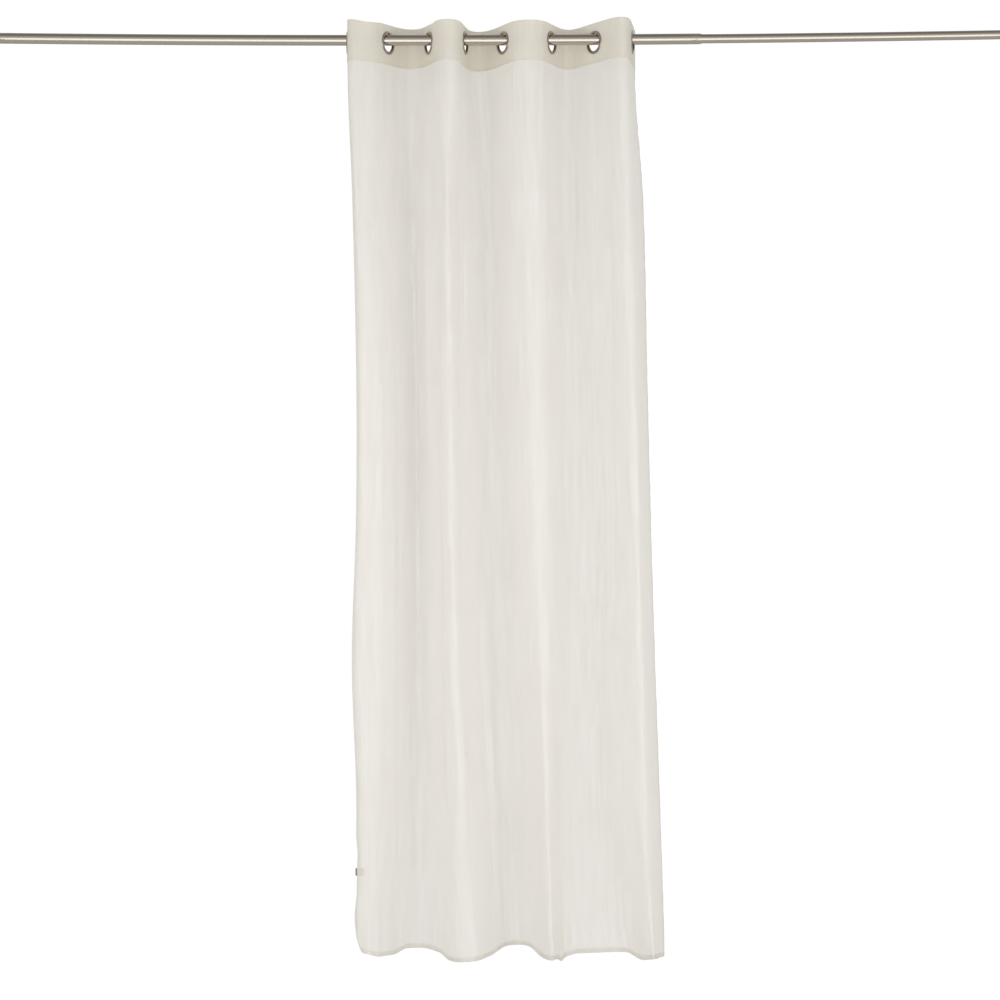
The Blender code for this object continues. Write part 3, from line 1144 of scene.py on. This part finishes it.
@dataclass
class HeadingBand:
    """The stiff doubled band along the top, cut flat with its eyelet holes and then hung."""

    column_step: float = 5.0 * MM
    row_step: float = 5.3 * MM
    thick: float = 1.5 * MM
    hole_radius: float = 25.2 * MM
    hole_sides: int = 56
    edge_round: float = 0.5 * MM
    seam_up: float = 4.0 * MM
    turn_in: float = 16.0 * MM
    turn_thick: float = 0.3 * MM

    @property
    def deep(self) -> float:
        """How deep the band is."""
        return DRAPE.heading_top - DRAPE.heading_foot

    def hang(self, flat: np.ndarray) -> np.ndarray:
        """Hangs points of the flat band.

        Args:
            flat: distances along it and up from its foot, and behind it.

        Returns:
            Their places.
        """
        along = flat[:, 0]
        height = DRAPE.heading_foot + DRAPE.heading_lift(along) + flat[:, 1]
        level = np.full(len(along), DRAPE.heading_foot)
        place, square = DRAPE.place(along, level), DRAPE.backwards(along, level)
        return np.column_stack([place + square * flat[:, 2:], height])

    def make(self, cloth: bpy.types.Material, rod: "Rod") -> bpy.types.Object:
        """Cuts the band, punches its holes and hangs it.

        Args:
            cloth: the doubled voile.
            rod: the rod, whose line says where the holes go.

        Returns:
            The heading.
        """
        deselect_all()
        bpy.ops.mesh.primitive_grid_add(
            x_subdivisions=round(DRAPE.width / self.column_step),
            y_subdivisions=round(self.deep / self.row_step),
            size=1,
            location=(DRAPE.width / 2, self.deep / 2, 0),
        )
        band = bpy.context.object
        band.name = "heading_cloth"
        band.scale = (DRAPE.width, self.deep, 1)
        wall = band.modifiers.new("two_layers", "SOLIDIFY")
        wall.thickness = self.thick
        wall.offset = 0.0
        apply_all(band)
        for index in range(len(PASSES)):
            self.punch(band, index, rod)
        edges = band.modifiers.new("soft_edges", "BEVEL")
        edges.width = self.edge_round
        edges.segments = 2
        edges.limit_method = "ANGLE"
        edges.angle_limit = radians(60)
        apply_all(band)
        flat = points_of(band)
        lay_uv(band, flat)
        flat[:, 2] += np.sign(flat[:, 2]) * self.turn_thick * (flat[:, 1] < self.turn_in)
        set_points(band, self.hang(flat))
        make_active(band)
        bpy.ops.object.shade_smooth_by_angle(angle=radians(50))
        return make_part(band, cloth, ["heading_band"])

    def punch(self, band: bpy.types.Object, index: int, rod: "Rod") -> None:
        """Cuts one eyelet hole in the flat band.

        Args:
            band: the flat band.
            index: the eyelet's number, from 0 at the left.
            rod: the rod, whose line says how high the hole is.
        """
        along = DRAPE.margin + index * DRAPE.pitch
        lift = float(DRAPE.heading_lift(np.array([along]))[0])
        up = rod.eyelet_height(index) - DRAPE.heading_foot - lift
        deselect_all()
        bpy.ops.mesh.primitive_cylinder_add(
            vertices=self.hole_sides,
            radius=self.hole_radius,
            depth=10 * self.thick,
            location=(along, up, 0),
        )
        cutter = bpy.context.object
        hole = band.modifiers.new("hole", "BOOLEAN")
        hole.operation = "DIFFERENCE"
        hole.object = cutter
        make_active(band)
        bpy.ops.object.modifier_apply(modifier=hole.name)
        bpy.data.objects.remove(cutter, do_unlink=True)

    def seams(self, thread: bpy.types.Material, stitching: Stitching) -> list[bpy.types.Object]:
        """Sews the band's foot, on both faces.

        Args:
            thread: the sewing thread.
            stitching: how the stitches are made.

        Returns:
            The rows of stitches.
        """
        rows = []
        for face, side in (("front", -1), ("back", 1)):
            seam = stitching.row(f"heading_{face}_stitches", DRAPE.width)
            points = points_of(seam)
            behind = side * (self.thick / 2 + self.turn_thick) + points[:, 2]
            flat = np.column_stack([points[:, 0], self.seam_up + points[:, 1], behind])
            lay_uv(seam, flat)
            set_points(seam, self.hang(flat))
            seam.data.shade_smooth()
            rows.append(make_part(seam, thread))
        return rows


class Station(NamedTuple):
    """A place along a tube, and the radius there."""

    x: float
    radius: float


# The outer tube's mouth, in millimetres before its end and out from its radius: a bead between two
# grooves, and then the swage down to the inner tube
SWAGE = [
    (14.0, 0.0), (13.4, -0.35), (12.6, -0.35), (12.0, 0.15), (8.6, 0.15), (8.0, -0.35),
    (7.2, -0.35), (6.6, 0.0), (5.2, -0.1), (1.6, -1.0), (0.5, -1.05), (0.0, -1.15),
]


@dataclass
class Rod:
    """The extendable rod: an outer tube, and an inner one that slides out of its swaged right end."""

    reach: float = 1350 * MM
    lowest_x: float = -315 * MM
    bow: float = 0.00554
    outer: float = 14.0 * MM
    inner: float = 12.0 * MM
    wall: float = 1.2 * MM
    joint_x: float = 530 * MM
    lap: float = 160 * MM
    sides: int = 72
    stride: float = 60 * MM
    end_round: float = 0.8 * MM
    eyelet_drop: float = 7.5 * MM

    def height(self, x: float) -> float:
        """The height of the rod's axis."""
        return self.bow * ((x - self.lowest_x) ** 2 - self.lowest_x**2)

    def eyelet_height(self, index: int) -> float:
        """The height of an eyelet's middle, which hangs below the rod's axis."""
        return self.height(PASSES[index].heading * MM) - self.eyelet_drop

    def run(self, start: float, end: float, radius: float) -> list[Station]:
        """Even stations from one place to another, without the first.

        Args:
            start: where the run starts.
            end: where it ends.
            radius: the tube's radius there.

        Returns:
            The stations.
        """
        count = max(1, round(abs(end - start) / self.stride))
        return [Station(start + (end - start) * k / count, radius) for k in range(1, count + 1)]

    def draw(self, name: str, stations: Sequence[Station]) -> bpy.types.Object:
        """Draws a tube by extruding a round plate from station to station.

        Args:
            name: the object's name.
            stations: where it goes.

        Returns:
            The closed tube.
        """
        first = stations[0]
        deselect_all()
        bpy.ops.mesh.primitive_circle_add(
            vertices=self.sides,
            radius=first.radius,
            fill_type="NGON",
            location=(first.x, 0, self.height(first.x)),
            rotation=(0, pi / 2, 0),
        )
        piece = bpy.context.object
        piece.name = name
        apply_all(piece)
        with editing(piece):
            bpy.ops.mesh.select_all(action="SELECT")
            for here, there in zip(stations, stations[1:]):
                rise = self.height(there.x) - self.height(here.x)
                bpy.ops.mesh.extrude_region_move(
                    TRANSFORM_OT_translate={"value": (there.x - here.x, 0, rise)}
                )
                grow = there.radius / here.radius
                if grow != 1.0:
                    bpy.ops.transform.resize(
                        value=(1, grow, grow),
                        center_override=(there.x, 0, self.height(there.x)),
                    )
            bpy.ops.mesh.select_all(action="SELECT")
            bpy.ops.mesh.normals_make_consistent(inside=False)
        bpy.ops.object.shade_smooth_by_angle(angle=radians(35))
        return piece

    def tube(
        self, name: str, closed_x: float, mouth: Sequence[Station], radius: float
    ) -> bpy.types.Object:
        """A tube with a flat closed end and an open mouth.

        Args:
            name: the object's name.
            closed_x: where its closed end is.
            mouth: the stations of its outside near the mouth.
            radius: its outside radius.

        Returns:
            The tube.
        """
        way = 1 if mouth[0].x > closed_x else -1
        bore = radius - self.wall
        soft = self.end_round
        stations = [
            Station(closed_x, radius - soft),
            Station(closed_x + way * soft * 0.3, radius - soft * 0.3),
            Station(closed_x + way * soft, radius),
        ]
        stations += self.run(closed_x + way * soft, mouth[0].x, radius)
        stations += mouth[1:]
        stations.append(Station(mouth[-1].x, bore))
        stations += self.run(mouth[-1].x, closed_x + way * self.wall, bore)
        return self.draw(name, stations)

    def make(self, metal: bpy.types.Material) -> list[bpy.types.Object]:
        """Makes both tubes.

        Args:
            metal: the plated steel.

        Returns:
            The outer and the inner tube.
        """
        end = self.joint_x
        swaged = [Station(end - before * MM, self.outer + out * MM) for before, out in SWAGE]
        outer = self.tube("outer_tube", -self.reach, swaged, self.outer)
        tail = end - self.lap
        plain = [
            Station(tail + self.end_round, self.inner),
            Station(tail, self.inner - self.end_round * 0.6),
        ]
        inner = self.tube("inner_tube", self.reach, plain, self.inner)
        make_part(outer, metal, ["rod_outer_tube"])
        make_part(inner, metal, ["rod_inner_tube"])
        return [outer, inner]


@dataclass
class Eyelets:
    """Clipped rings: a domed flange on each face, and the band's edge held in the groove between."""

    outer: float = 30.5 * MM
    bore: float = 22.5 * MM
    neck: float = 24.6 * MM
    groove: float = 0.85 * MM
    half_deep: float = 3.4 * MM
    turn_steps: int = 80
    dome_steps: int = 7

    def profile(self) -> list[tuple[float, float]]:
        """The ring's section: a half dome on each face and a groove between them.

        Returns:
            Closed outline as radius and place along the axis.
        """
        middle = (self.outer + self.bore) / 2
        half_wide = (self.outer - self.bore) / 2
        rise = self.half_deep - self.groove
        dome = []
        for step in range(self.dome_steps + 1):
            angle = pi * step / self.dome_steps
            dome.append((middle + half_wide * cos(angle), self.groove + rise * sin(angle) ** 0.8))
        front = [(self.neck, self.groove)] + dome
        return front + [(r, -y) for r, y in reversed(front)]

    def ring(self, name: str) -> bpy.types.Object:
        """One ring about the Y axis at the origin, spun from its section.

        Args:
            name: the object's name.

        Returns:
            The ring, with its radius and depth as an attribute.
        """
        outline = self.profile()
        deselect_all()
        bpy.ops.mesh.primitive_circle_add(vertices=len(outline), radius=self.bore, fill_type="NOTHING")
        ring = bpy.context.object
        ring.name = name
        set_points(ring, np.array([(r, y, 0.0) for r, y in outline]))
        with editing(ring):
            bpy.ops.mesh.select_all(action="SELECT")
            bpy.ops.mesh.spin(steps=self.turn_steps, angle=2 * pi, center=(0, 0, 0), axis=(0, 1, 0))
            bpy.ops.mesh.select_all(action="SELECT")
            bpy.ops.mesh.remove_doubles(threshold=0.01 * MM)
            bpy.ops.mesh.normals_make_consistent(inside=False)
        bpy.ops.object.shade_smooth_by_angle(angle=radians(40))
        points = points_of(ring)
        turned = ring.data.attributes.new("turned", "FLOAT_VECTOR", "POINT")
        radius = np.hypot(points[:, 0], points[:, 2])
        values = np.column_stack([radius, points[:, 1], np.zeros(len(points))])
        turned.data.foreach_set("vector", values.ravel())
        return ring

    def make(self, metal: bpy.types.Material, rod: Rod) -> list[bpy.types.Object]:
        """Makes a ring at each pass of the cloth.

        Args:
            metal: the plated steel.
            rod: the rod that they hang on.

        Returns:
            The rings, from left to right.
        """
        rings = []
        for index, row in enumerate(PASSES):
            ring = self.ring(f"eyelet_ring_{index + 1}")
            way = DRAPE.pass_way(index, 0)
            ring.rotation_euler = (0, 0, atan2(way[1], way[0]))
            ring.location = (row.heading * MM, 0, rod.eyelet_height(index))
            apply_all(ring)
            rings.append(make_part(ring, metal, [f"eyelet_{index + 1}"]))
        return rings


@dataclass
class SideLabel:
    """A small folded label of ribbed tape, sewn to the left side hem. It is blank."""

    height: float = -2198 * MM
    wide: float = 24 * MM
    high: float = 20 * MM
    thick: float = 0.8 * MM
    poke: float = 5.0 * MM
    bulge: float = 1.5 * MM
    clear: float = 0.9 * MM
    curl: float = 0.5 * MM
    edge_round: float = 0.25 * MM
    hem_reach: float = 15 * MM

    def make(self, tape: bpy.types.Material) -> bpy.types.Object:
        """Cuts, bows and sews on the label.

        Args:
            tape: the label tape.

        Returns:
            The label.
        """
        deselect_all()
        bpy.ops.mesh.primitive_grid_add(x_subdivisions=16, y_subdivisions=12, size=1)
        label = bpy.context.object
        label.name = "blank_side_label"
        share = points_of(label)[:, :2] + 0.5
        flat = np.column_stack([share[:, 0] * self.wide, share[:, 1] * self.high])
        lay_uv(label, flat)
        level = np.array([self.height])
        edge, inside = (DRAPE.place(np.array([at]), level)[0] for at in (0.0, self.hem_reach))
        out = (edge - inside) / np.linalg.norm(edge - inside)
        root = edge + out * self.clear
        bulge = self.bulge * (np.sin(pi * share[:, 0]) - sin(pi * self.poke / self.wide))
        curl = self.curl * (2 * share[:, 1] - 1) ** 2
        x = root[0] - self.poke + flat[:, 0]
        y = root[1] + bulge + curl
        set_points(label, np.column_stack([x, y, self.height - self.high / 2 + flat[:, 1]]))
        wall = label.modifiers.new("two_layers", "SOLIDIFY")
        wall.thickness = self.thick
        wall.offset = 0.0
        soft = label.modifiers.new("folded_edge", "BEVEL")
        soft.width = self.edge_round
        soft.segments = 2
        soft.limit_method = "ANGLE"
        soft.angle_limit = radians(50)
        apply_all(label)
        bpy.ops.object.shade_smooth_by_angle(angle=radians(50))
        return make_part(label, tape, ["side_label"])


# The studio


class Lamp(Enum):
    """A soft lamp: where its middle is, and how wide and high it is."""

    FRONT = ((0.1, -2.6, -1.15), (5.2, 2.0))
    LEFT = ((-2.6, -2.0, -1.15), (1.6, 2.0))
    RIGHT = ((2.8, -1.9, -1.15), (1.6, 2.0))


@dataclass
class Studio:
    """A white floor, soft lamps in front and bright surroundings, with the photograph's camera."""

    distance: float = 5.8
    aim_height: float = -1.2095
    frame_wide: float = 2.63
    sensor: float = 36.0
    floor_z: float = -2.462
    floor_size: float = 80.0
    white: float = 1.02
    front_watts: float = 50.0
    side_watts: float = 20.0
    behind_light: float = 1.3
    front_light: float = 0.82
    top_light: float = 0.27
    near_floor: float = 0.55
    far_floor: float = 0.33
    near_reach: float = 2.5
    far_reach: float = 4.6
    depth_blend: float = 0.35
    ceiling_from: float = 0.1
    ceiling_to: float = 1.1

    def camera(self) -> None:
        """Sets up the camera, level and square to the rod."""
        data = bpy.data.cameras.new("camera")
        data.sensor_width = self.sensor
        data.lens = self.sensor * self.distance / self.frame_wide
        camera = bpy.data.objects.new("camera", data)
        camera.location = (0, -self.distance, self.aim_height)
        camera.rotation_euler = (radians(90), 0, 0)
        bpy.context.scene.collection.objects.link(camera)
        bpy.context.scene.camera = camera

    def lamp(self, lamp: Lamp, watts: float) -> None:
        """Sets up one large soft lamp, which isn't itself seen. Only the front one is mirrored.

        Args:
            lamp: which lamp it is.
            watts: how strong it is.
        """
        place, (wide, high) = lamp.value
        data = bpy.data.lights.new(f"{lamp.name.lower()}_lamp", "AREA")
        data.shape = "RECTANGLE"
        data.size, data.size_y = wide, high
        data.energy = watts
        piece = bpy.data.objects.new(data.name, data)
        piece.location = place
        aim = Vector((0, 0, self.aim_height)) - piece.location
        piece.rotation_euler = aim.to_track_quat("-Z", "Y").to_euler()
        piece.visible_camera = False
        piece.visible_glossy = lamp is Lamp.FRONT
        bpy.context.scene.collection.objects.link(piece)

    def floor(self) -> None:
        """Lays a plain white floor just below the hem, which glows, most of all below the curtain."""
        material, tree = new_material("white_floor")
        where = add_node(tree, "ShaderNodeTexCoord").outputs["Object"]
        away = add_node(
            tree, "ShaderNodeVectorMath", {0: where}, operation="LENGTH"
        ).outputs["Value"]
        near = add_node(
            tree,
            "ShaderNodeMapRange",
            {
                "Value": away,
                "From Min": self.near_reach,
                "From Max": self.far_reach,
                "To Min": self.near_floor,
                "To Max": self.far_floor,
            },
            interpolation_type="SMOOTHSTEP",
        ).outputs["Result"]
        output = self.seen_white(tree, "ShaderNodeEmission", near)
        add_node(tree, "ShaderNodeOutputMaterial", {"Surface": output})
        deselect_all()
        bpy.ops.mesh.primitive_plane_add(size=self.floor_size, location=(0, 0, self.floor_z))
        floor = bpy.context.object
        floor.name = "floor"
        floor.data.materials.append(material)

    def seen_white(
        self, tree: bpy.types.NodeTree, kind: str, light: bpy.types.NodeSocket
    ) -> bpy.types.NodeSocket:
        """Light of one strength for the part, and white where the camera sees it.

        Args:
            tree: the node tree of the floor or the world.
            kind: the shader's type.
            light: its strength for the part.

        Returns:
            The shader's output.
        """
        lit = add_node(tree, kind, {"Strength": light})
        seen = add_node(tree, kind, {"Color": linear("#ffffff"), "Strength": self.white})
        which = add_node(tree, "ShaderNodeLightPath").outputs["Is Camera Ray"]
        return add_node(
            tree, "ShaderNodeMixShader", {0: which, 1: lit.outputs[0], 2: seen.outputs[0]}
        ).outputs["Shader"]

    def toward(
        self,
        tree: bpy.types.NodeTree,
        axis: tuple[float, float, float],
        start: float,
        end: float,
        before: float,
        after: float,
    ) -> bpy.types.NodeSocket:
        """A strength that changes smoothly with how near a direction is to an axis.

        Args:
            tree: the world's node tree.
            axis: the axis.
            start: the direction's share of the axis where the change starts.
            end: the share where it ends.
            before: the strength before the change.
            after: the strength after it.

        Returns:
            The strength.
        """
        way = add_node(tree, "ShaderNodeTexCoord").outputs["Generated"]
        share = add_node(
            tree, "ShaderNodeVectorMath", {0: way, 1: axis}, operation="DOT_PRODUCT"
        ).outputs["Value"]
        return add_node(
            tree,
            "ShaderNodeMapRange",
            {"Value": share, "From Min": start, "From Max": end, "To Min": before, "To Max": after},
            interpolation_type="SMOOTHSTEP",
        ).outputs["Result"]

    def world(self) -> None:
        """Surroundings: white where they are seen, and as light brighter behind than in front."""
        world = bpy.data.worlds.new("surroundings")
        world.use_nodes = True
        tree = world.node_tree
        tree.nodes.clear()
        blend = self.depth_blend
        depth = self.toward(tree, (0, 1, 0), -blend, blend, self.front_light, self.behind_light)
        ceiling = self.toward(
            tree, (0, 0, 1), self.ceiling_from, self.ceiling_to, 1.0, self.top_light
        )
        light = add_node(
            tree, "ShaderNodeMath", {0: depth, 1: ceiling}, operation="MULTIPLY"
        ).outputs["Value"]
        output = self.seen_white(tree, "ShaderNodeBackground", light)
        add_node(tree, "ShaderNodeOutputWorld", {"Surface": output})
        bpy.context.scene.world = world

    def make(self) -> None:
        """Sets up the camera, the lamps, the floor and the surroundings."""
        self.camera()
        self.lamp(Lamp.FRONT, self.front_watts)
        self.lamp(Lamp.LEFT, self.side_watts)
        self.lamp(Lamp.RIGHT, self.side_watts)
        self.floor()
        self.world()
        view = bpy.context.scene.view_settings
        view.view_transform = "Standard"
        view.look = "None"


def main() -> None:
    """Builds the part piece by piece, and the studio around it."""
    logging.basicConfig(level=logging.INFO, format="%(name)s: %(message)s")
    Studio().make()
    rod = Rod()
    rod.make(SatinNickel().make())
    rings = Eyelets().make(EyeletNickel().make(), rod)
    band = HeadingBand()
    heading = band.make(HeadingCloth().make(), rod)
    sheet = CurtainPanel()
    panel = sheet.make(Voile().make())
    thread = PlainFibre("spun_polyester_thread", "#f3efe4", "#e2dccb").make()
    stitching = Stitching()
    sewn = sheet.seams(thread, stitching) + band.seams(thread, stitching)
    label = SideLabel().make(PlainFibre("ribbed_label_tape", "#a39588", "#8f8174").make())


if __name__ == "__main__":
    main()
